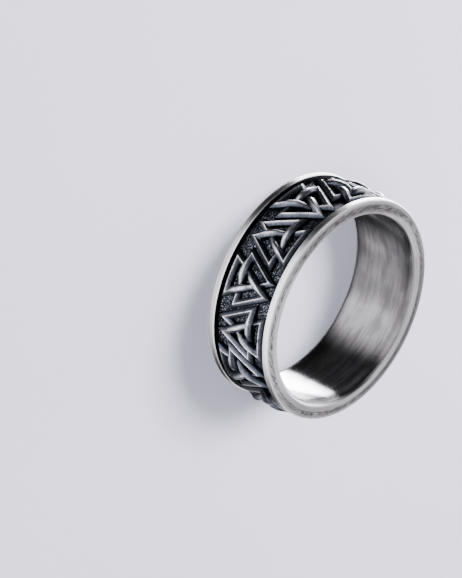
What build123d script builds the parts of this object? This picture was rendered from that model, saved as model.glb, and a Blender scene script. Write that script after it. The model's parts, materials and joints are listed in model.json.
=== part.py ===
from build123d import *
import math
import os

# Cast silver ring with a band of valknut figures.
# Millimetres. The ring lies on its side: its axis is +Z, and the origin is the
# centre of the face that it rests on. Figure number 0 is centred on +X.

# Band sizes
finger_radius = 9.9       # finger hole at its narrowest
wall = 1.9                # from the finger hole to the top of the rims
band_width = 7.92         # along the axis
rim_width = 0.68          # each raised rim, along the axis
channel_depth = 0.65      # the sunk ground below the rims
mouth_length = 1.00       # easy curve at each end of the finger hole, along the axis
mouth_flare = 0.25        # how much that curve widens the finger hole
mouth_round = 0.40        # tighter round from there to the side face
rim_round = 0.15          # outer corner of each rim
rim_edge_round = 0.08     # inner edge of each rim, above the channel

# Strand sizes
strand_width = 0.90       # across the foot of a strand
shoulder_width = 0.76     # across the lower edges of its roof
ridge_width = 0.06        # worn flat along the ridge
arch_ridge_width = 0.26   # the same at the top of an arch, where it is rounder
roof_drop = 0.24          # from the ridge down to the lower edges of the roof
arch_rise = 0.33          # how much a strand rises to pass over another
dip_depth = 0.30          # how much it sinks to pass under
root_depth = 0.15         # hidden foot of a strand below the ground
root_swing = 0.08         # how much the hidden foot follows the strand up and down

# Figure layout
line_spacing = 1.40       # between the two parallel lines on each side of a figure
tip_clearance = 0.21      # from the tips of a figure to the rims
figure_gap = 0.10         # least clear ground between two figures

# Height of a strand along its long bar, between the two corners.
# along: share of the stretch that is clear of the corners.
# level: 1 is the top of the arch over one strand, -1 the dip under the next.
# Rows: (along, level)
WEAVE = [
    (0.03, 0.60),
    (0.12, 0.90),
    (0.22, 1.00),
    (0.33, 0.95),
    (0.43, 0.70),
    (0.52, 0.22),
    (0.61, -0.45),
    (0.77, -1.00),
    (0.97, -0.40),
]

# Radii and half sizes that follow
rim_radius = finger_radius + wall
ground_radius = rim_radius - channel_depth
half_width = band_width / 2
half_channel = half_width - rim_width
half_strand = strand_width / 2

# Section of the finger hole's mouths, where the two curves meet smoothly
mouth_radius = (mouth_length ** 2 + mouth_flare ** 2) / (2 * mouth_flare)
mouth_turn = math.asin(mouth_length / mouth_radius)
round_length = mouth_round * (1 - math.sin(mouth_turn))
mouth_start = half_width - round_length - mouth_length
round_centre = finger_radius + mouth_flare + mouth_round * math.cos(mouth_turn)

# Plan of one figure laid flat, about its centre, with its base upwards.
# Each of its three sides has an outer and an inner line, this far out.
SIN_60 = math.sin(math.radians(60))
TAN_60 = math.tan(math.radians(60))
# centre_rise moves the centre so that the tips reach as far at the base as at
# the apex.
tip_reach = half_channel - tip_clearance
centre_rise = (tip_reach - line_spacing) / 3
inner_line = 2 * centre_rise - half_strand
outer_line = inner_line + line_spacing
long_half = (outer_line + inner_line / 2) / SIN_60
apex_half = line_spacing / TAN_60
apex_drop = outer_line + inner_line

# How far a mitred corner reaches along its bars
corner_reach = half_strand * TAN_60

# Number of figures that fit round the ring, an even one because they alternate
least_pitch = (2 * outer_line + strand_width + figure_gap - centre_rise) / SIN_60
figure_pairs = int(2 * math.pi * rim_radius / (2 * least_pitch))
figure_count = 2 * figure_pairs


def band_side(side):
    """One half of the band's section, above (1) or below (-1) its middle."""
    turn = math.degrees(mouth_turn)
    outer_quarter = 0 if side > 0 else -90
    inner_quarter = -90 if side > 0 else 0
    Line((finger_radius, 0), (finger_radius, side * mouth_start))
    CenterArc(
        (finger_radius + mouth_radius, side * mouth_start),
        mouth_radius,
        180,
        -side * turn,
    )
    CenterArc(
        (round_centre, side * (half_width - mouth_round)),
        mouth_round,
        180 - side * turn,
        -side * (90 - turn),
    )
    Line((round_centre, side * half_width), (rim_radius - rim_round, side * half_width))
    CenterArc(
        (rim_radius - rim_round, side * (half_width - rim_round)),
        rim_round,
        outer_quarter,
        90,
    )
    Line(
        (rim_radius, side * (half_width - rim_round)),
        (rim_radius, side * (half_channel + rim_edge_round)),
    )
    CenterArc(
        (rim_radius - rim_edge_round, side * (half_channel + rim_edge_round)),
        rim_edge_round,
        inner_quarter,
        90,
    )
    Line((rim_radius - rim_edge_round, side * half_channel), (ground_radius, side * half_channel))


def make_band():
    """The plain band: its section turned about the axis."""
    with BuildPart() as band:
        with BuildSketch(Plane.XZ):
            with BuildLine():
                band_side(1)
                band_side(-1)
                Line((ground_radius, -half_channel), (ground_radius, half_channel))
            make_face()
        revolve(axis=Axis.Z)
    return band.part.solid()


def between(start, end, distance):
    """The point this far from start on the way to end."""
    share = distance / math.dist(start, end)
    return tuple(a + (b - a) * share for a, b in zip(start, end))


def across(start, end):
    """The unit vector to the left of the way from start to end."""
    length = math.dist(start, end)
    return ((start[1] - end[1]) / length, (end[0] - start[0]) / length)


def mitre(before, after):
    """Where the left side of a strand turns a corner, for a strand 1 wide."""
    scale = 1 + before[0] * after[0] + before[1] * after[1]
    return ((before[0] + after[0]) / scale, (before[1] + after[1]) / scale)


def strand_stations():
    """Sections along a third of a figure: its point, sideways vector and level.

    The strand starts in the middle of one short bar, runs along one whole long
    bar and ends in the middle of the next short bar.
    """
    left = (-long_half, inner_line)
    right = (long_half, inner_line)
    left_apex = (-apex_half, -apex_drop)
    right_apex = (apex_half, -apex_drop)
    short_half = math.dist(left, left_apex) / 2
    short_step = (short_half + corner_reach) / 2
    clear = 2 * long_half - 2 * corner_reach

    side_in = across(left_apex, left)
    side_long = across(left, right)
    side_out = across(right, right_apex)

    stations = [
        (between(left, left_apex, short_half), side_in, 0),
        (between(left, left_apex, short_step), side_in, 0),
        (left, mitre(side_in, side_long), 0),
    ]
    for along, level in WEAVE:
        stations.append((between(left, right, corner_reach + along * clear), side_long, level))
    stations += [
        (right, mitre(side_long, side_out), 0),
        (between(right, right_apex, short_step), side_out, 0),
        (between(right, right_apex, short_half), side_out, 0),
    ]
    return stations


def wrap(x, y, radius):
    """A point of the flat plan on the ring, at this radius."""
    angle = x / rim_radius
    return (radius * math.cos(angle), radius * math.sin(angle), y)


def section_points(point, sideways, level, turn):
    """The six corners of a strand's section, from its right foot to its left."""
    rise = level * (arch_rise if level > 0 else dip_depth)
    ridge_radius = rim_radius + rise
    ridge_half = (ridge_width + max(level, 0) * (arch_ridge_width - ridge_width)) / 2
    root_radius = ground_radius - root_depth + root_swing * level
    shoulder_radius = ridge_radius - roof_drop
    outline = [
        (-half_strand, root_radius),
        (-shoulder_width / 2, shoulder_radius),
        (-ridge_half, ridge_radius),
        (ridge_half, ridge_radius),
        (shoulder_width / 2, shoulder_radius),
        (half_strand, root_radius),
    ]
    cosine = math.cos(turn)
    sine = math.sin(turn)
    corners = []
    for offset, radius in outline:
        x = point[0] + offset * sideways[0]
        y = point[1] + offset * sideways[1]
        turned_x = x * cosine - y * sine
        turned_y = x * sine + y * cosine
        corners.append(wrap(turned_x, turned_y + centre_rise, radius))
    return corners


def triangle(a, b, c):
    return Face(Wire.make_polygon([a, b, c]))


def end_cap(corners):
    """The flat facets that close one end of a strand."""
    order = [(0, 1, 4), (0, 4, 5), (1, 2, 3), (1, 3, 4)]
    return [triangle(corners[i], corners[j], corners[k]) for i, j, k in order]


def make_strand(turn):
    """A third of a figure, turned by this angle about the figure's centre."""
    sections = [section_points(*station, turn) for station in strand_stations()]
    facets = end_cap(sections[0]) + end_cap(sections[-1])
    for here, there in zip(sections, sections[1:]):
        for i in range(len(here)):
            j = (i + 1) % len(here)
            facets.append(triangle(here[i], here[j], there[j]))
            facets.append(triangle(here[i], there[j], there[i]))
    return Solid(Shell(facets))


def make_figure():
    """One valknut: a single closed strand, woven over and under itself."""
    strands = [make_strand(math.radians(turn)) for turn in (0, 120, 240)]
    return strands[0] + strands[1] + strands[2]


def make_ring():
    """The band and its figures as one casting, lying on its side."""
    base_up = make_figure()
    base_down = base_up.mirror(Plane.XY)
    figures = []
    for number in range(figure_count):
        figure = base_up if number % 2 else base_down
        figures.append(Rot(0, 0, 360 * number / figure_count) * figure)
    return Pos(0, 0, half_width) * (make_band() + figures)


os.makedirs("parts", exist_ok=True)
export_step(make_ring(), "parts/ring_band.step")
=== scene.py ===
import bmesh
import bpy
import json
import math
from mathutils import Matrix, Vector, noise


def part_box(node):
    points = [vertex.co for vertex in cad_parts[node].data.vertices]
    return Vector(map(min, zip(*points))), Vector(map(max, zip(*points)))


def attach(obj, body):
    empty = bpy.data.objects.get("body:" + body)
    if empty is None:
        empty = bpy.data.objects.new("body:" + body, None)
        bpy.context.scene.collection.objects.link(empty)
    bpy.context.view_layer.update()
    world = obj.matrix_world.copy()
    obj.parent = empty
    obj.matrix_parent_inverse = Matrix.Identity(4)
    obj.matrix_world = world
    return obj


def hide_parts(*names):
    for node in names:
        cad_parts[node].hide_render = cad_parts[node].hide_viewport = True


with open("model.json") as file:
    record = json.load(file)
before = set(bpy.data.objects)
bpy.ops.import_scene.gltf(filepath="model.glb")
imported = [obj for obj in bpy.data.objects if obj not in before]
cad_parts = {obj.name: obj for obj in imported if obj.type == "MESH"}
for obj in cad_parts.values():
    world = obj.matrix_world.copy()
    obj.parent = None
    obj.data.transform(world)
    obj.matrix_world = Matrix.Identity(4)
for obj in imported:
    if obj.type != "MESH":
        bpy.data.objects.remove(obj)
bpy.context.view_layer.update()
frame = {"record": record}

# Lengths are in millimetres until a mesh or a light is made. The ring's axis is
# +Z and it lies on the floor at z = 0. Figure number 0 is centred on +X.
MM = 0.001

# Sizes that come from the frame
low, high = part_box("ring_band")
band_width = (high[2] - low[2]) / MM
finger_radius = frame["record"]["mounts"][0]["dims"]["r_mm"]

# Band sizes
wall = 1.9                # from the finger hole to the top of the rims
rim_width = 0.68          # each raised rim, along the axis
channel_depth = 0.65      # the sunk ground below the rims
mouth_length = 1.00       # easy curve at each end of the finger hole, along the axis
mouth_flare = 0.25        # how much that curve widens the finger hole
mouth_round = 0.40        # tighter round from there to the side face
rim_round = 0.15          # outer corner of each rim
rim_edge_round = 0.08     # inner edge of each rim, above the channel

# Strand sizes
strand_width = 0.90       # across the foot of a strand
arch_rise = 0.33          # how much a strand rises to pass over another
dip_depth = 0.30          # how much it sinks to pass under
root_depth = 0.15         # hidden foot of a strand below the ground
root_swing = 0.08         # how much the hidden foot follows the strand up and down

# Figure layout
line_spacing = 1.40       # between the two parallel lines on each side of a figure
tip_clearance = 0.21      # from the tips of a figure to the rims
figure_count = 14

# Height of a strand along its long bar. along: share of the stretch that is
# clear of the corners. level: 1 is the top of an arch, -1 the bottom of a dip.
# Rows: (along, level)
WEAVE = [
    (0.03, 0.60),
    (0.12, 0.90),
    (0.22, 1.00),
    (0.33, 0.95),
    (0.43, 0.70),
    (0.52, 0.22),
    (0.61, -0.45),
    (0.77, -1.00),
    (0.97, -0.40),
]

# Half of a strand's section, from its crest outwards, as a sharp roof and as
# the rounded bar that it becomes in an arch. side: share of half the width.
# drop: below the crest. wear: how much bare silver shows.
# Rows: (roof_side, roof_drop, roof_wear, round_side, round_drop, round_wear)
SECTION = [
    (0.00, 0.000, 1.00, 0.00, 0.000, 0.80),
    (0.07, 0.012, 1.00, 0.20, 0.012, 0.60),
    (0.15, 0.045, 0.15, 0.40, 0.050, 0.25),
    (0.45, 0.135, 0.00, 0.60, 0.120, 0.08),
    (0.75, 0.222, 0.00, 0.77, 0.215, 0.00),
    (0.84, 0.262, 0.00, 0.88, 0.320, 0.00),
    (0.89, 0.340, 0.00, 0.95, 0.450, 0.00),
]

# Where along a long bar the section grows round and where it is a roof again
round_from, round_full = 0.5, 1.5
roof_from, roof_full = 3.7, 4.7

# Stippled ground of the channel
stipple_size = 0.15       # one coarse bump
stipple_height = 0.06     # from the level ground to the highest bumps
coarse_share = 0.65       # of that height
fine_share = 0.50         # of that height
fine_ratio = 2.3          # how much smaller the fine bumps are
fine_shift = Vector((7, 3, 5))    # keeps them apart from the coarse ones

# The ground is a sleeve of its own, round a core whose channel is a little deeper
core_gap = 0.10           # how much deeper
sleeve_depth = 0.40       # thickness of the sleeve
sleeve_overlap = 0.05     # how far its ends reach into the rims

# Fineness of the meshes
band_steps = 360          # round the ring
ground_steps = 720        # round the ring
ground_rows = 66          # across the channel
arc_steps = 6             # on each round of the band's section
edge_steps = 3            # on the round of a rim's inner edge
flat_steps = 4            # on each straight stretch of the section
short_stations = 8        # sections along half a short bar
long_stations = 38        # sections along a long bar
sharp_angle = 38          # degrees between two facets that still look smooth

# Tarnish on the side faces, in a band between their edges
stain_radius = 11.2       # middle of the band
stain_core = 0.12         # from the middle to where it starts to fade
stain_half = 0.45         # from the middle to where it ends
stain_sink = 0.8          # how much lower than the silver the tarnish and painted shade lie in the bump
fleck_slant = 0.28        # radians that a fleck turns for each millimetre outwards

# Painted shades on the side faces. radii: between which a shade grows or fades.
# most: its share where it is full.
shade_reach = 0.30        # from the middle of the tarnish outwards, where it grows
shade_most = 0.65
dim_radii = (10.42, 10.58)
dim_most = 0.45
lip_radii = (10.40, 10.55)
lip_most = 0.70

# Shades on the other surfaces
bore_mouth = (1.6, 3.2)   # from the middle of the width, between which the bore darkens
bore_fine_share = 0.36    # fine streaks among the broad ones
land_spot_share = 0.50    # spots among the brushing of the rims
lower_rim_shade = 0.68    # share of the low grey on the lower rim
rim_shade_reach = 1.0     # on both sides of the middle of the width, where it fades
ground_high = (-0.03, 0.05)   # from the level ground, between which bumps grow bare
ground_edge = (0.25, 0.02)    # from the channel's sides, between which bare bumps end; black beside the rims, partly patina in the corner and partly painted shade
flank_rise = 0.15         # flanks pale from this above the ground to this above the rims

# Roughness of each surface, and how far glints spread along the axis on those
# that are brushed round the ring
bore_roughness = 0.24
bore_glint = 0.95
face_roughness = (0.30, 0.50)     # clean, tarnished
land_roughness = 0.36
land_glint = 0.80
ground_roughness = 0.42
strand_roughness = (0.32, 0.23)   # dark flank, bare crest
floor_roughness = 0.90

# Tones by direction. They are read from the photo's light, so they stand for
# what the metal mirrors there and not only for its own colour. A tone is full on
# the side that faces its azimuth. start and full: how far out on that side it
# begins and is full, as shares of the rim's radius.
# Rows: name: (azimuth, start, full)
TONES = {
    "wide_tarnish": (45, 0.45, 0.80),
    # Even tarnish, together with painted shade on the outer band and corner
    "even_tarnish_painted_shade": (275, 0.45, 0.80),
    # Less tarnish, together with painted sheen on the face
    "bare_face_painted_sheen": (128, 0.45, 0.80),
    "faint_tarnish": (325, 0.75, 0.90),
    # Painted shade on the face near its lip
    "painted_shade_face": (192, 0.72, 0.90),
    # Painted shade on the lip
    "painted_shade_lip": (231, 0.84, 0.87),
    # Painted sheen on the rims
    "painted_sheen_rims": (112, 0.65, 0.90),
    # Painted light: the bore's mouths stay lighter on this side
    "painted_light_mouths": (283, 0.70, 0.82),
    # Painted shade in the bore
    "painted_shade_bore": (301, 0.785, 0.83),
    # Painted highlight: a bright patch in the bore
    "painted_highlight_bore": (195, 0.76, 0.82),
    # Painted shade on the strands
    "painted_shade_strands": (180, 0.72, 0.94),
}

# Values that change with the tones. base: away from all of them. Each tone adds
# its change where it is full.
# Rows: name: (base, {tone: change})
CHANGES = {
    "mouth_brightness": (0.40, {"painted_light_mouths": 0.50}),
    "bore_worn": (1.0, {"painted_shade_bore": -0.52}),
    "stain_middle": (stain_radius, {"wide_tarnish": -0.28}),
    "stain_half": (stain_half, {"wide_tarnish": 0.38}),
    "stain_amount": (1.0, {"bare_face_painted_sheen": -0.04, "faint_tarnish": -0.12}),
    "fleck_start": (0.41, {"bare_face_painted_sheen": 0.03}),
    "fleck_full": (0.54, {"bare_face_painted_sheen": 0.02}),
    "fleck_least": (0.46, {"bare_face_painted_sheen": -0.20, "wide_tarnish": 0.20}),
    "even_flecks": (0.0, {"even_tarnish_painted_shade": 0.85}),
    "even_shade": (0.0, {"even_tarnish_painted_shade": 0.20}),
    "face_bare_sheen": (0.0, {"bare_face_painted_sheen": 0.25}),
    "corner_wear_and_highlight": (1.0, {"even_tarnish_painted_shade": -0.75}),
    "flank_pale": (1.0, {"painted_shade_strands": -0.45}),
    "crest_bare": (1.0, {"painted_shade_strands": -0.25}),
}

# Noise that runs in streaks round the ring. over: changes in a millimetre over
# the streaks. around: changes in a radian along them. detail: how many finer
# layers it has. rough: how strong they are.
# Rows: name: (over, around, detail, rough)
STREAKS = {
    "bore_broad": (0.8, 3.5, 3.0, 0.5),
    "bore_fine": (3.2, 1.4, 2.0, 0.5),
    "face_brushed": (16.0, 5.0, 3.0, 0.5),
    "face_flecks": (6.0, 24.0, 4.0, 0.6),
    "land_brushed": (18.0, 2.0, 3.0, 0.5),
}

# Noise that is alike in every direction. fineness: changes in a millimetre.
# Rows: name: (fineness, detail, rough)
SPECKS = {
    "land_spots": (0.5, 2.0, 0.5),
    "ground_speckle": (6.0, 4.0, 0.7),
    "strand_grain": (6.0, 3.0, 0.6),
    "strand_cloud": (0.8, 2.0, 0.5),
}

# How noise becomes a share: least below low, most above high.
# Rows: name: (low, high, least, most)
CONTRASTS = {
    "bore_streaks": (0.36, 0.64, 0.55, 1.15),
    "face_brushing": (0.30, 0.70, 0.0, 1.0),
    "land_tone": (0.40, 0.60, 0.0, 1.0),
    "ground_specks": (0.52, 0.60, 0.0, 1.0),
    "flank_cloud": (0.30, 0.70, 0.70, 1.10),
    "flank_grain": (0.38, 0.62, 0.40, 1.10),
    "crest_grain": (0.34, 0.56, 0.60, 1.0),
    "crest_cloud": (0.35, 0.60, 0.55, 1.0),
}

# Greys of the metal. blue: how much more blue than red it has, as a share.
# Rows: name: (red, blue)
GREYS = {
    "bore_deep": (0.02, 0.0),
    "bore_worn": (0.31, 0.0),
    "bore_painted_highlight": (0.88, 0.0),
    "face_dull": (0.30, 0.0),
    "face_clean": (0.44, 0.0),
    "face_bare_sheen": (0.60, 0.0),
    "face_stain_and_shade": (0.05, 0.0),
    "face_corner_wear_and_highlight": (0.92, 0.0),
    "land_dull": (0.50, 0.0),
    "land_clean": (0.90, 0.0),
    "land_pale": (0.95, 0.0),
    "land_low": (0.20, 0.0),
    "ground_black": (0.005, 1.0),
    "ground_bare": (0.50, 0.25),
    "strand_black": (0.012, 1.0),
    "strand_flank": (0.115, 0.33),
    "strand_crest": (0.94, 0.06),
}
green_part = 0.4          # how much of a grey's extra blue its green has too

# Floor
floor_reach = 3.0         # metres from the ring's axis to each side
floor_cloud = (22.0, 3.0, 0.5)    # changes in a metre, detail, rough
floor_dark = (0.225, 0.221, 0.272, 1)
floor_pale = (0.250, 0.246, 0.302, 1)

# Room round the ring
room_brightness = 0.05
room_colour = (1.0, 0.955, 1.03, 1)

# The room's round panels, in degrees. A panel is even over its half angle and
# soft over its edge beyond that. It is cut off below its bottom and above its
# top, over its fade. A brightness below zero is a dark card.
# Rows: (azimuth, elevation, half_angle, edge, bottom, top, fade, brightness)
PANELS = [
    (274, 60, 32, 24, -90, 90, 1, 1.4),
    (0, 90, 45, 25, -90, 90, 1, 0.7),
    (150, 45, 30, 15, -90, 90, 1, 0.3),
    (118, 34, 18, 18, -90, 90, 1, 0.45),
    (256, -4, 22, 14, -32, 24, 8, 1.6),
    (125, -2, 46, 26, -22, 14, 10, 3.6),
    (309.5, 0, 47.5, 2, -90, -24, 5, 19.0),
    (325, 8, 30, 4, -8, 42, 4, 1.5),
    (309, 12, 14, 16, -26, 44, 4, 6.0),
    (350, -16, 4, 4, -90, 90, 1, 12.0),
    (112, -36, 14, 42, -90, -34, 12, 2.4),
    (172, -36, 20, 25, -90, -34, 12, 0.85),
    (353, 46, 18, 14, -90, 90, 1, -1.5),
]

# Square lights for the floor. Angles are in degrees, lengths in metres.
# Rows: (name, azimuth, elevation, distance, size, power)
LIGHTS = [
    ("key", 333, 52, 0.35, 0.16, 9.5),
    ("fill", 108, 60, 0.40, 0.22, 2.8),
]

# Camera, as found from the rim circles in the photo. Angles are in degrees.
image_width, image_height = 462, 578
centre_pixel = (317.87, 295.86)   # where the middle of the ring lies
focal_pixels = 5876
camera_distance = 590 * MM
camera_azimuth = 93.9
camera_elevation = 35.78
camera_roll = 115.94
sensor_width = 36
nearest_seen = 10 * MM

# Sizes that follow
rim_radius = finger_radius + wall
ground_radius = rim_radius - channel_depth
half_width = band_width / 2
half_channel = half_width - rim_width
half_strand = strand_width / 2
mouth_radius = (mouth_length ** 2 + mouth_flare ** 2) / (2 * mouth_flare)
mouth_turn = math.asin(mouth_length / mouth_radius)
mouth_start = half_width - mouth_round * (1 - math.sin(mouth_turn)) - mouth_length
round_centre = finger_radius + mouth_flare + mouth_round * math.cos(mouth_turn)
SIN_60 = math.sin(math.radians(60))
TAN_60 = math.tan(math.radians(60))
centre_rise = (half_channel - tip_clearance - line_spacing) / 3
inner_line = 2 * centre_rise - half_strand
outer_line = inner_line + line_spacing
long_half = (outer_line + inner_line / 2) / SIN_60
apex_half = line_spacing / TAN_60
apex_drop = outer_line + inner_line
corner_reach = half_strand * TAN_60
long_bar = 2 * long_half

# Material slots of the ring, in the order of ring_materials
BORE, FACE, LAND, GROUND, RELIEF = range(5)


def mix(a, b, share):
    return a + (b - a) * share


def smooth_step(start, end, x):
    t = min(max((x - start) / (end - start), 0), 1)
    return t * t * (3 - 2 * t)


def direction(azimuth, elevation):
    around, up = math.radians(azimuth), math.radians(elevation)
    return Vector((math.cos(around) * math.cos(up), math.sin(around) * math.cos(up), math.sin(up)))


def add_object(name, data):
    """A new object in the scene."""
    made = bpy.data.objects.new(name, data)
    bpy.context.scene.collection.objects.link(made)
    return made


# Meshes

def new_object(name, verts, faces, slots, wear=None):
    """A mesh object from points in millimetres, with its faces turned outwards."""
    mesh = bpy.data.meshes.new(name)
    mesh.from_pydata([(x * MM, y * MM, z * MM) for x, y, z in verts], [], faces)
    worn = mesh.attributes.new("wear", "FLOAT", "POINT")
    worn.data.foreach_set("value", wear or [0.0] * len(verts))
    for slot_material in ring_materials:
        mesh.materials.append(slot_material)
    mesh.polygons.foreach_set("material_index", slots)
    made = bmesh.new()
    made.from_mesh(mesh)
    bmesh.ops.recalc_face_normals(made, faces=made.faces)
    if made.calc_volume(signed=True) < 0:
        bmesh.ops.reverse_faces(made, faces=made.faces)
    made.to_mesh(mesh)
    made.free()
    return add_object(name, mesh)


def united(piece, others):
    """Unite the others with the piece and remove them."""
    for other in others:
        union = piece.modifiers.new("union", "BOOLEAN")
        union.operation = "UNION"
        union.solver = "MANIFOLD"
        union.object = other
    bpy.context.view_layer.update()
    graph = bpy.context.evaluated_depsgraph_get()
    mesh = bpy.data.meshes.new_from_object(piece.evaluated_get(graph))
    piece.modifiers.clear()
    piece.data = mesh
    for other in others:
        bpy.data.objects.remove(other)
    return piece


def turned(name, outline, slots, steps, rise=None):
    """A closed outline of (radius, height) points, turned about the axis.

    slots has the material of the stretch that starts at each point. rise gives
    what a point's radius grows by, from its place in the outline and in the ring.
    """
    verts = []
    faces = []
    face_slots = []
    count = len(outline)
    for i in range(steps):
        angle = 2 * math.pi * i / steps
        for j, (radius, height) in enumerate(outline):
            if rise:
                point = Vector((radius * math.cos(angle), radius * math.sin(angle), height))
                radius += rise(j, point)
            verts.append((radius * math.cos(angle), radius * math.sin(angle), height))
    for i in range(steps):
        here = i * count
        there = (i + 1) % steps * count
        for j in range(count):
            k = (j + 1) % count
            faces.append((here + j, there + j, there + k, here + k))
            face_slots.append(slots[j])
    return new_object(name, verts, faces, face_slots)


def arc(centre, radius, start, end, steps):
    """Points on an arc, its ends included. Angles are in degrees."""
    points = []
    for i in range(steps + 1):
        angle = math.radians(mix(start, end, i / steps))
        points.append((centre[0] + radius * math.cos(angle), centre[1] + radius * math.sin(angle)))
    return points


def half_outline():
    """The band's section from the middle of its bore to the middle of its channel."""
    turn = math.degrees(mouth_turn)
    rim_inner = rim_radius - rim_round
    mouth_middle = (finger_radius + mouth_radius, mouth_start)
    round_middle = (round_centre, half_width - mouth_round)
    corner_middle = (rim_inner, half_width - rim_round)
    edge_middle = (rim_radius - rim_edge_round, half_channel + rim_edge_round)
    channel_corner = (ground_radius - core_gap, half_channel)
    stretches = [
        (BORE, [(finger_radius, mouth_start * i / flat_steps) for i in range(flat_steps)]),
        (BORE, arc(mouth_middle, mouth_radius, 180, 180 - turn, arc_steps)[:-1]),
        (FACE, arc(round_middle, mouth_round, 180 - turn, 90, arc_steps)[:-1]),
        (FACE, [(mix(round_centre, rim_inner, i / flat_steps), half_width) for i in range(flat_steps)]),
        (FACE, arc(corner_middle, rim_round, 90, 0, arc_steps)[:-1]),
        (LAND, [(rim_radius, half_width - rim_round)]),
        (LAND, arc(edge_middle, rim_edge_round, 0, -90, edge_steps)[:-1]),
        (GROUND, [(rim_radius - rim_edge_round, half_channel), channel_corner]),
    ]
    outline = []
    slots = []
    for slot, points in stretches:
        outline += points
        slots += [slot] * len(points)
    return outline, slots


def make_core():
    """The plain band, with its channel a little too deep for the ground to fill."""
    upper, slots = half_outline()
    lower = [(radius, -height) for radius, height in reversed(upper)][:-1]
    lower_slots = list(reversed(slots[:-1]))
    outline = [(radius, height + half_width) for radius, height in upper + lower]
    return turned("ring", outline, slots + lower_slots, band_steps)


def stipple(point):
    """Height of the chased ground, from -1 to 1."""
    coarse = noise.noise(point / stipple_size)
    fine = noise.noise(point / stipple_size * fine_ratio + fine_shift)
    return coarse_share * coarse + fine_share * fine


def make_ground():
    """The sunk ground of the channel, as a sleeve that ends inside the rims."""
    inside = ground_radius - sleeve_depth
    bottom = half_width - half_channel - sleeve_overlap
    top = half_width + half_channel + sleeve_overlap
    outline = [(ground_radius, mix(bottom, top, j / ground_rows)) for j in range(ground_rows + 1)]
    outline += [(inside, top), (inside, bottom)]

    def rough(j, point):
        return stipple_height * stipple(point) if j <= ground_rows else 0

    return turned("ground", outline, [GROUND] * len(outline), ground_steps, rough)


# Strands

def level_rows():
    clear = long_bar - 2 * corner_reach
    rows = [(0.0, 0.0)]
    rows += [(corner_reach + along * clear, level) for along, level in WEAVE]
    rows += [(long_bar, 0.0)]
    return rows


def row_slopes(rows):
    """Slopes for a smooth curve through the rows that never overshoots."""
    steps = [(b[1] - a[1]) / (b[0] - a[0]) for a, b in zip(rows, rows[1:])]
    slopes = [0.0]
    for before, after in zip(steps, steps[1:]):
        flat = before * after <= 0
        slopes.append(0.0 if flat else 2 * before * after / (before + after))
    return slopes + [0.0]


LEVELS = level_rows()
SLOPES = row_slopes(LEVELS)


def level_at(along):
    """Height of the strand this far along its long bar, from -1 to 1."""
    along = min(max(along, 0.0), long_bar)
    stretches = zip(LEVELS, LEVELS[1:], SLOPES, SLOPES[1:])
    start, end, start_slope, end_slope = next(row for row in stretches if along <= row[1][0])
    span = end[0] - start[0]
    t = (along - start[0]) / span
    level = start[1] + (end[1] - start[1]) * t * t * (3 - 2 * t)
    return level + span * t * (1 - t) * (start_slope * (1 - t) - end_slope * t)


def half_section(along):
    """(side, radius, wear) from the crest down to the hidden foot."""
    level = level_at(along)
    roundness = smooth_step(round_from, round_full, along)
    roundness *= 1 - smooth_step(roof_from, roof_full, along)
    crest = rim_radius + level * (arch_rise if level > 0 else dip_depth)
    points = []
    for roof_side, roof_drop, roof_wear, round_side, round_drop, round_wear in SECTION:
        side = half_strand * mix(roof_side, round_side, roundness)
        radius = crest - mix(roof_drop, round_drop, roundness)
        points.append((side, radius, mix(roof_wear, round_wear, roundness)))
    points.append((half_strand, ground_radius - root_depth / 2, 0))
    points.append((half_strand, ground_radius - root_depth + root_swing * level, 0))
    return points


def wrapped(point, radius, turn):
    """A point of the flat plan on the ring, about the middle of its width."""
    x = point.x * math.cos(turn) - point.y * math.sin(turn)
    y = point.x * math.sin(turn) + point.y * math.cos(turn)
    angle = x / rim_radius
    return (radius * math.cos(angle), radius * math.sin(angle), y + centre_rise)


def section_points(bar, share):
    """Points across a bar, at this share of its length, as (point, radius, wear).

    They run from the foot on the right, the inner side of both corners, to the
    left one. Sections fan out evenly between the mitred corners.
    """
    start, end, start_mitre, end_mitre, is_long = bar
    length = (end - start).length
    way = (end - start) / length
    sideways = Vector((-way.y, way.x))
    profile = half_section(share * length if is_long else 0)
    last = len(profile) - 1
    order = [(-1, j) for j in range(last, 0, -1)] + [(1, j) for j in range(last + 1)]
    points = []
    for side_sign, j in order:
        offset = side_sign * profile[j][0]
        begin = -offset * TAN_60 * start_mitre
        finish = length + offset * TAN_60 * end_mitre
        along = mix(begin, finish, share)
        side, radius, worn = half_section(along if is_long else 0)[j]
        point = start + way * along + sideways * side_sign * side
        points.append((point, radius, worn))
    return points


def make_strand(turn):
    """A third of a figure, turned by this angle about the figure's centre.

    It runs from the middle of a short bar along a whole long bar to the middle
    of the next short bar.
    """
    left = Vector((-long_half, inner_line))
    right = Vector((long_half, inner_line))
    left_apex = Vector((-apex_half, -apex_drop))
    right_apex = Vector((apex_half, -apex_drop))
    # Rows: ((start, end, mitred at the start, mitred at the end, long), steps, sections)
    bars = [
        (((left + left_apex) / 2, left, 0, 1, False), short_stations, short_stations),
        ((left, right, 1, 1, True), long_stations, long_stations),
        ((right, (right + right_apex) / 2, 1, 0, False), short_stations, short_stations + 1),
    ]
    sections = []
    for bar, steps, count in bars:
        sections += [section_points(bar, i / steps) for i in range(count)]
    verts = []
    wear = []
    for section in sections:
        for point, radius, worn in section:
            verts.append(wrapped(point, radius, turn))
            wear.append(worn)
    across = len(sections[0])
    faces = [tuple(range(across)), tuple(range(len(verts) - across, len(verts)))]
    for i in range(len(sections) - 1):
        here = i * across
        there = here + across
        for j in range(across):
            k = (j + 1) % across
            faces.append((here + j, here + k, there + k, there + j))
    return new_object("strand", verts, faces, [RELIEF] * len(faces), wear)


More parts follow.
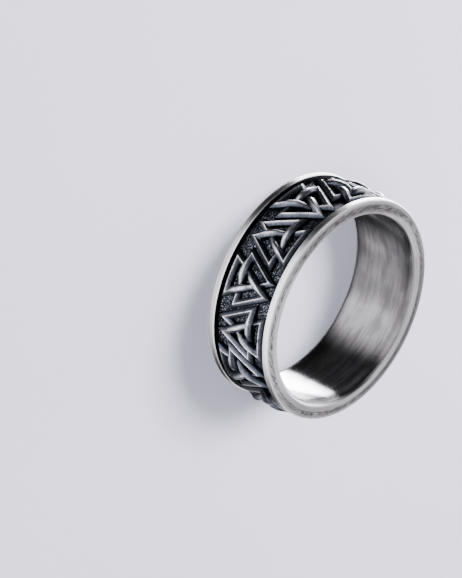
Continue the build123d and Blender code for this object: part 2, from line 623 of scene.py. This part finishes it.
def make_figures():
    """All the figures, every second one upside down."""
    strands = [make_strand(math.radians(turn)) for turn in (0, 120, 240)]
    pattern = united(strands[0], strands[1:])
    figures = []
    for number in range(figure_count):
        figure = add_object("figure", pattern.data.copy())
        upside = 1 if number % 2 else -1
        place = Matrix.Translation((0, 0, half_width * MM))
        place = place @ Matrix.Rotation(2 * math.pi * number / figure_count, 4, "Z")
        place = place @ Matrix.Diagonal((1, 1, upside, 1))
        figure.data.transform(place)
        if upside < 0:
            figure.data.flip_normals()
        figures.append(figure)
    bpy.data.objects.remove(pattern)
    return figures


# Nodes that the materials share

def node(tree, kind, inputs=None, **settings):
    """Add a node. Inputs are numbers, colours or the sockets to link."""
    made = tree.nodes.new(kind)
    for name, value in settings.items():
        setattr(made, name, value)
    for name, value in (inputs or {}).items():
        if isinstance(value, bpy.types.NodeSocket):
            tree.links.new(value, made.inputs[name])
        else:
            made.inputs[name].default_value = value
    return made


def math_node(tree, operation, *values):
    return node(tree, "ShaderNodeMath", dict(enumerate(values)), operation=operation).outputs[0]


def product(tree, value, *others):
    """All the values multiplied together."""
    for other in others:
        value = math_node(tree, "MULTIPLY", value, other)
    return value


def larger(tree, a, b):
    return math_node(tree, "MAXIMUM", a, b)


def apart(tree, a, b):
    """How far two values are apart."""
    return math_node(tree, "ABSOLUTE", math_node(tree, "SUBTRACT", a, b))


def blend_values(tree, first, second, share):
    """The first value, with this share of the second in its place."""
    kept = product(tree, first, 1 - share)
    return math_node(tree, "ADD", kept, product(tree, second, share))


def blend_colour(tree, share, first, second):
    """The first colour, with this share of the second in its place."""
    return node(tree, "ShaderNodeMix", {0: share, 6: first, 7: second}, data_type="RGBA").outputs[2]


def grey(name):
    red, blue = GREYS[name]
    return (red, red * (1 + blue * green_part), red * (1 + blue), 1)


def ramp(tree, value, low_in, high_in, low_out=0.0, high_out=1.0):
    """Map a value smoothly from one range to another."""
    inputs = {
        "Value": value,
        "From Min": low_in,
        "From Max": high_in,
        "To Min": low_out,
        "To Max": high_out,
    }
    return node(tree, "ShaderNodeMapRange", inputs, interpolation_type="SMOOTHSTEP", clamp=True).outputs[0]


def contrast(tree, value, name):
    """A share from noise, by its row in CONTRASTS."""
    return ramp(tree, value, *CONTRASTS[name])


def start_material(name):
    material = bpy.data.materials.new(name)
    material.use_nodes = True
    tree = material.node_tree
    tree.nodes.clear()
    return material, tree


def separate(tree, vector):
    return node(tree, "ShaderNodeSeparateXYZ", {0: vector}).outputs


def place_nodes(tree):
    """Position in millimetres, its distance from the axis and its height."""
    metres = node(tree, "ShaderNodeNewGeometry").outputs["Position"]
    inputs = {0: metres, "Scale": 1 / MM}
    place = node(tree, "ShaderNodeVectorMath", inputs, operation="SCALE").outputs[0]
    x, y, height = separate(tree, place)
    squares = math_node(tree, "ADD", product(tree, x, x), product(tree, y, y))
    return place, math_node(tree, "SQRT", squares), height


def noise_node(tree, vector, fineness, detail, rough):
    inputs = {"Vector": vector, "Scale": fineness, "Detail": detail, "Roughness": rough}
    return node(tree, "ShaderNodeTexNoise", inputs).outputs["Fac"]


def specks(tree, place, name):
    """Noise alike in every direction, by its row in SPECKS."""
    return noise_node(tree, place, *SPECKS[name])


def streaks(tree, place, radius, across, name):
    """Noise in streaks round the ring, by its row in STREAKS.

    across is the length that is measured over the streaks.
    """
    over, around, detail, rough = STREAKS[name]
    parts = separate(tree, place)
    inputs = {2: product(tree, across, over)}
    for axis in (0, 1):
        unit = math_node(tree, "DIVIDE", parts[axis], radius)
        inputs[axis] = product(tree, unit, around)
    vector = node(tree, "ShaderNodeCombineXYZ", inputs).outputs[0]
    return noise_node(tree, vector, 1.0, detail, rough)


def towards(tree, place, tone):
    """A tone's share: 1 on the side that faces its azimuth, 0 well away from it."""
    azimuth, start, full = TONES[tone]
    inputs = {0: place, 1: direction(azimuth, 0)}
    outwards = node(tree, "ShaderNodeVectorMath", inputs, operation="DOT_PRODUCT").outputs["Value"]
    return ramp(tree, outwards, start * rim_radius, full * rim_radius)


def changed(tree, place, name):
    """A value of CHANGES, with what its tones add at this place."""
    value, changes = CHANGES[name]
    for tone, change in changes.items():
        value = math_node(tree, "MULTIPLY_ADD", towards(tree, place, tone), change, value)
    return value


def brushed_round(tree, amount):
    """Sockets of a surface brushed round the ring: its glints spread along the axis."""
    axis = node(tree, "ShaderNodeCombineXYZ", {2: 1.0}).outputs[0]
    return {"Anisotropic": amount, "Tangent": axis}


def finish_surface(tree, colour, roughness, relief, bump, depth=0.02, metallic=1.0, **sockets):
    """The shader. bump: strength of the relief. depth: its height in millimetres."""
    inputs = {"Height": relief, "Strength": bump, "Distance": depth * MM}
    normal = node(tree, "ShaderNodeBump", inputs).outputs[0]
    inputs = {"Normal": normal, "Metallic": metallic, "Base Color": colour, "Roughness": roughness}
    inputs.update(sockets)
    shader = node(tree, "ShaderNodeBsdfPrincipled", inputs)
    node(tree, "ShaderNodeOutputMaterial", {"Surface": shader.outputs[0]})


# Materials

def bore_material():
    """Worn inside of the band: soft streaks round the finger, with a painted highlight on one side and
    painted shade and painted light by direction.
    """
    material, tree = start_material("silver_bore")
    place, radius, height = place_nodes(tree)
    broad = streaks(tree, place, radius, height, "bore_broad")
    fine = streaks(tree, place, radius, height, "bore_fine")
    tone = blend_values(tree, broad, fine, bore_fine_share)
    from_middle = apart(tree, height, half_width)
    # Share of the lighter grey: streaks of wear, darker towards the mouths, with painted shade on one side
    # and painted light at the mouths on another
    worn = product(
        tree,
        ramp(tree, from_middle, *bore_mouth, 1.0, changed(tree, place, "mouth_brightness")),
        contrast(tree, tone, "bore_streaks"),
        changed(tree, place, "bore_worn"),
    )
    colour = blend_colour(tree, worn, grey("bore_deep"), grey("bore_worn"))
    # Painted highlight: a bright patch on the side where the bore mirrors a light
    painted_highlight = towards(tree, place, "painted_highlight_bore")
    colour = blend_colour(tree, painted_highlight, colour, grey("bore_painted_highlight"))
    finish_surface(tree, colour, bore_roughness, fine, bump=0.06, **brushed_round(tree, bore_glint))
    return material


def slanted_flecks(tree, place, radius):
    """Noise in short flecks that run round the side face at a slant."""
    inputs = {0: place, "Angle": product(tree, radius, fleck_slant)}
    spun = node(tree, "ShaderNodeVectorRotate", inputs, rotation_type="Z_AXIS").outputs[0]
    return streaks(tree, spun, radius, radius, "face_flecks")


def tarnish(tree, place, radius):
    """Share of tarnish on the side faces: flecks in a band between the edges."""
    middle = changed(tree, place, "stain_middle")
    half = changed(tree, place, "stain_half")
    band = ramp(tree, apart(tree, radius, middle), stain_core, half, 1.0, 0.0)
    flecks = ramp(
        tree,
        slanted_flecks(tree, place, radius),
        changed(tree, place, "fleck_start"),
        changed(tree, place, "fleck_full"),
        changed(tree, place, "fleck_least"),
    )
    flecks = larger(tree, flecks, changed(tree, place, "even_flecks"))
    return product(tree, band, changed(tree, place, "stain_amount"), flecks)


def face_shade(tree, place, radius):
    """Share of painted shade on the side faces."""
    outer = ramp(tree, radius, stain_radius, stain_radius + shade_reach, 0.0, shade_most)
    shade = product(tree, towards(tree, place, "even_tarnish_painted_shade"), outer)
    shade = larger(tree, shade, changed(tree, place, "even_shade"))
    # Painted shade on the face near the lip, on one side
    dim = product(tree, towards(tree, place, "painted_shade_face"), ramp(tree, radius, *dim_radii), dim_most)
    return larger(tree, shade, dim)


def face_material():
    """Side faces and corners of the rims: bright edges, partly worn and partly a painted highlight, with
    tarnish and painted shade in a band between them.
    """
    material, tree = start_material("silver_face")
    place, radius = place_nodes(tree)[:2]
    brushed = streaks(tree, place, radius, radius, "face_brushed")
    brushing = contrast(tree, brushed, "face_brushing")
    colour = blend_colour(tree, brushing, grey("face_dull"), grey("face_clean"))
    # Bare silver and painted sheen on one side
    colour = blend_colour(tree, changed(tree, place, "face_bare_sheen"), colour, grey("face_bare_sheen"))
    # Tarnish, with painted shade on some sides
    stain_and_shade = larger(tree, tarnish(tree, place, radius), face_shade(tree, place, radius))
    colour = blend_colour(tree, stain_and_shade, colour, grey("face_stain_and_shade"))
    # Painted shade on the lip, on one side
    lip = ramp(tree, radius, *lip_radii, 1.0, 0.0)
    lip = product(tree, lip, towards(tree, place, "painted_shade_lip"), lip_most)
    colour = blend_colour(tree, lip, colour, grey("face_stain_and_shade"))
    # Bright corners: partly worn silver, partly a painted highlight, with less of it on the side with
    # painted shade
    corner = ramp(tree, radius, rim_radius - rim_round, rim_radius - rim_round / 2)
    corner = product(tree, corner, changed(tree, place, "corner_wear_and_highlight"))
    colour = blend_colour(tree, corner, colour, grey("face_corner_wear_and_highlight"))
    roughness = ramp(tree, stain_and_shade, 0.0, 1.0, *face_roughness)
    relief = math_node(tree, "SUBTRACT", brushed, product(tree, stain_and_shade, stain_sink))
    finish_surface(tree, colour, roughness, relief, bump=0.35)
    return material


def land_material():
    """Tops of the rims: brushed and darkened, with painted sheen on one side and painted shade on the
    lower rim, and bright along both edges, partly worn and partly a painted highlight.
    """
    material, tree = start_material("silver_land")
    place, radius, height = place_nodes(tree)
    brushed = streaks(tree, place, radius, height, "land_brushed")
    tone = blend_values(tree, brushed, specks(tree, place, "land_spots"), land_spot_share)
    clean = contrast(tree, tone, "land_tone")
    colour = blend_colour(tree, clean, grey("land_dull"), grey("land_clean"))
    # Painted sheen on one side
    colour = blend_colour(tree, towards(tree, place, "painted_sheen_rims"), colour, grey("land_pale"))
    shade_start = half_width - rim_shade_reach
    shade_end = half_width + rim_shade_reach
    # Painted shade on the lower rim
    lower = ramp(tree, height, shade_start, shade_end, lower_rim_shade, 0.0)
    colour = blend_colour(tree, lower, colour, grey("land_low"))
    edge_start = half_channel + rim_edge_round
    edge_end = half_channel + 2 * rim_edge_round
    # Pale along both edges: partly worn bright, partly a painted highlight
    edge = ramp(tree, apart(tree, height, half_width), edge_start, edge_end, 1.0, 0.0)
    colour = blend_colour(tree, edge, colour, grey("land_pale"))
    finish_surface(tree, colour, land_roughness, brushed, bump=0.25, **brushed_round(tree, land_glint))
    return material


def ground_material():
    """Blackened ground between the strands."""
    material, tree = start_material("blackened_ground")
    place, radius, height = place_nodes(tree)
    speckle = specks(tree, place, "ground_speckle")
    high_from, high_full = [ground_radius + rise for rise in ground_high]
    edge_from, edge_full = [half_channel - inset for inset in ground_edge]
    # Bare bumps end near the channel's sides: black there, partly patina and partly painted shade along
    # the rims
    bare = product(
        tree,
        ramp(tree, radius, high_from, high_full),
        contrast(tree, speckle, "ground_specks"),
        ramp(tree, apart(tree, height, half_width), edge_from, edge_full, 1.0, 0.0),
    )
    colour = blend_colour(tree, bare, grey("ground_black"), grey("ground_bare"))
    finish_surface(tree, colour, ground_roughness, speckle, bump=1.0, depth=0.05, metallic=0.96)
    return material


def relief_material():
    """Strands: dark flanks, bare silver where the crests are worn, and painted shade on one side."""
    material, tree = start_material("relief_silver")
    place, radius = place_nodes(tree)[:2]
    wear = node(tree, "ShaderNodeAttribute", attribute_name="wear").outputs["Fac"]
    grain = specks(tree, place, "strand_grain")
    cloud = specks(tree, place, "strand_cloud")
    # Flanks blackened towards the ground, and darker on one side as painted shade
    flank = product(
        tree,
        ramp(tree, radius, ground_radius + flank_rise, rim_radius + flank_rise),
        contrast(tree, cloud, "flank_cloud"),
        contrast(tree, grain, "flank_grain"),
        changed(tree, place, "flank_pale"),
    )
    colour = blend_colour(tree, flank, grey("strand_black"), grey("strand_flank"))
    bare = product(
        tree,
        wear,
        contrast(tree, grain, "crest_grain"),
        contrast(tree, cloud, "crest_cloud"),
        changed(tree, place, "crest_bare"),
    )
    colour = blend_colour(tree, bare, colour, grey("strand_crest"))
    roughness = ramp(tree, bare, 0.0, 1.0, *strand_roughness)
    finish_surface(tree, colour, roughness, grain, bump=0.5, depth=0.03)
    return material


def floor_material():
    """Pale floor with faint clouds."""
    material, tree = start_material("pale_floor")
    metres = node(tree, "ShaderNodeNewGeometry").outputs["Position"]
    cloud = noise_node(tree, metres, *floor_cloud)
    colour = blend_colour(tree, cloud, floor_dark, floor_pale)
    finish_surface(tree, colour, floor_roughness, cloud, bump=0.1, depth=0.1, metallic=0.0)
    return material


ring_materials = [
    bore_material(),
    face_material(),
    land_material(),
    ground_material(),
    relief_material(),
]


# The ring

def shell_around(start):
    """All the points that edges join to this one, itself included."""
    shell = {start}
    waiting = [start]
    while waiting:
        for edge in waiting.pop().link_edges:
            for vert in edge.verts:
                if vert not in shell:
                    shell.add(vert)
                    waiting.append(vert)
    return shell


def drop_slivers(mesh):
    """Keep only the largest shell, because the union leaves a few tiny ones beside it."""
    made = bmesh.new()
    made.from_mesh(mesh)
    unvisited = set(made.verts)
    shells = []
    while unvisited:
        shell = shell_around(unvisited.pop())
        unvisited -= shell
        shells.append(shell)
    largest = max(shells, key=len)
    slivers = [vert for vert in made.verts if vert not in largest]
    bmesh.ops.delete(made, geom=slivers, context="VERTS")
    made.to_mesh(mesh)
    made.free()


def make_ring():
    """One casting: band, ground and figures united into a single closed mesh."""
    ring = united(make_core(), [make_ground()] + make_figures())
    ring.name = "ring"
    mesh = ring.data
    drop_slivers(mesh)
    mesh.polygons.foreach_set("use_smooth", [True] * len(mesh.polygons))
    mesh.set_sharp_from_angle(angle=math.radians(sharp_angle))
    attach(ring, "root")
    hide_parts("ring_band")


# Floor, lights and camera

def make_floor():
    """A plain square that the metal doesn't mirror and that casts no shadow."""
    signs = [(-1, -1), (1, -1), (1, 1), (-1, 1)]
    mesh = bpy.data.meshes.new("floor")
    mesh.from_pydata([(x * floor_reach, y * floor_reach, 0) for x, y in signs], [], [(0, 1, 2, 3)])
    mesh.materials.append(floor_material())
    floor = add_object("floor", mesh)
    floor.visible_glossy = False
    floor.visible_shadow = False


def make_light(name, azimuth, elevation, distance, size, power):
    """A square area light that faces the ring and that the metal doesn't mirror."""
    way = direction(azimuth, elevation)
    data = bpy.data.lights.new(name, "AREA")
    data.size = size
    data.energy = power
    light = add_object(name, data)
    light.location = way * distance
    light.rotation_euler = way.to_track_quat("Z", "Y").to_euler()
    light.visible_glossy = False


def make_world():
    """A dark room with round bright panels and a dark card, which the metal mirrors."""
    world = bpy.data.worlds.new("studio")
    bpy.context.scene.world = world
    world.use_nodes = True
    tree = world.node_tree
    way = node(tree, "ShaderNodeTexCoord").outputs["Generated"]
    level = math_node(tree, "DEGREES", math_node(tree, "ARCSINE", separate(tree, way)[2]))
    total = room_brightness
    for azimuth, elevation, half_angle, edge, bottom, top, fade, brightness in PANELS:
        inputs = {0: way, 1: direction(azimuth, elevation)}
        closeness = node(tree, "ShaderNodeVectorMath", inputs, operation="DOT_PRODUCT").outputs["Value"]
        angle = math_node(tree, "DEGREES", math_node(tree, "ARCCOSINE", closeness))
        panel = product(
            tree,
            ramp(tree, angle, half_angle, half_angle + edge, brightness, 0.0),
            ramp(tree, level, bottom - fade, bottom),
            ramp(tree, level, top, top + fade, 1.0, 0.0),
        )
        total = math_node(tree, "ADD", total, panel)
    back = tree.nodes["Background"]
    back.inputs["Color"].default_value = room_colour
    tree.links.new(larger(tree, total, room_brightness), back.inputs["Strength"])


def make_camera():
    """A camera that sees the ring at the photo's angle and place in the picture."""
    backward = direction(camera_azimuth, camera_elevation)
    around = math.radians(camera_azimuth)
    level_right = Vector((-math.sin(around), math.cos(around), 0))
    level_up = backward.cross(level_right)
    roll = math.radians(camera_roll)
    right = level_right * math.cos(roll) + level_up * math.sin(roll)
    upward = level_up * math.cos(roll) - level_right * math.sin(roll)
    aside = (centre_pixel[0] - image_width / 2) / focal_pixels * camera_distance
    below = (centre_pixel[1] - image_height / 2) / focal_pixels * camera_distance
    middle = Vector((0, 0, half_width * MM))
    data = bpy.data.cameras.new("camera")
    data.sensor_width = sensor_width
    data.lens = focal_pixels / image_height * sensor_width
    data.clip_start = nearest_seen
    camera = add_object("camera", data)
    place = Matrix((right, upward, backward)).transposed().to_4x4()
    place.translation = middle + backward * camera_distance - right * aside + upward * below
    camera.matrix_world = place
    bpy.context.scene.camera = camera


make_ring()
make_floor()
make_world()
for light_row in LIGHTS:
    make_light(*light_row)
make_camera()
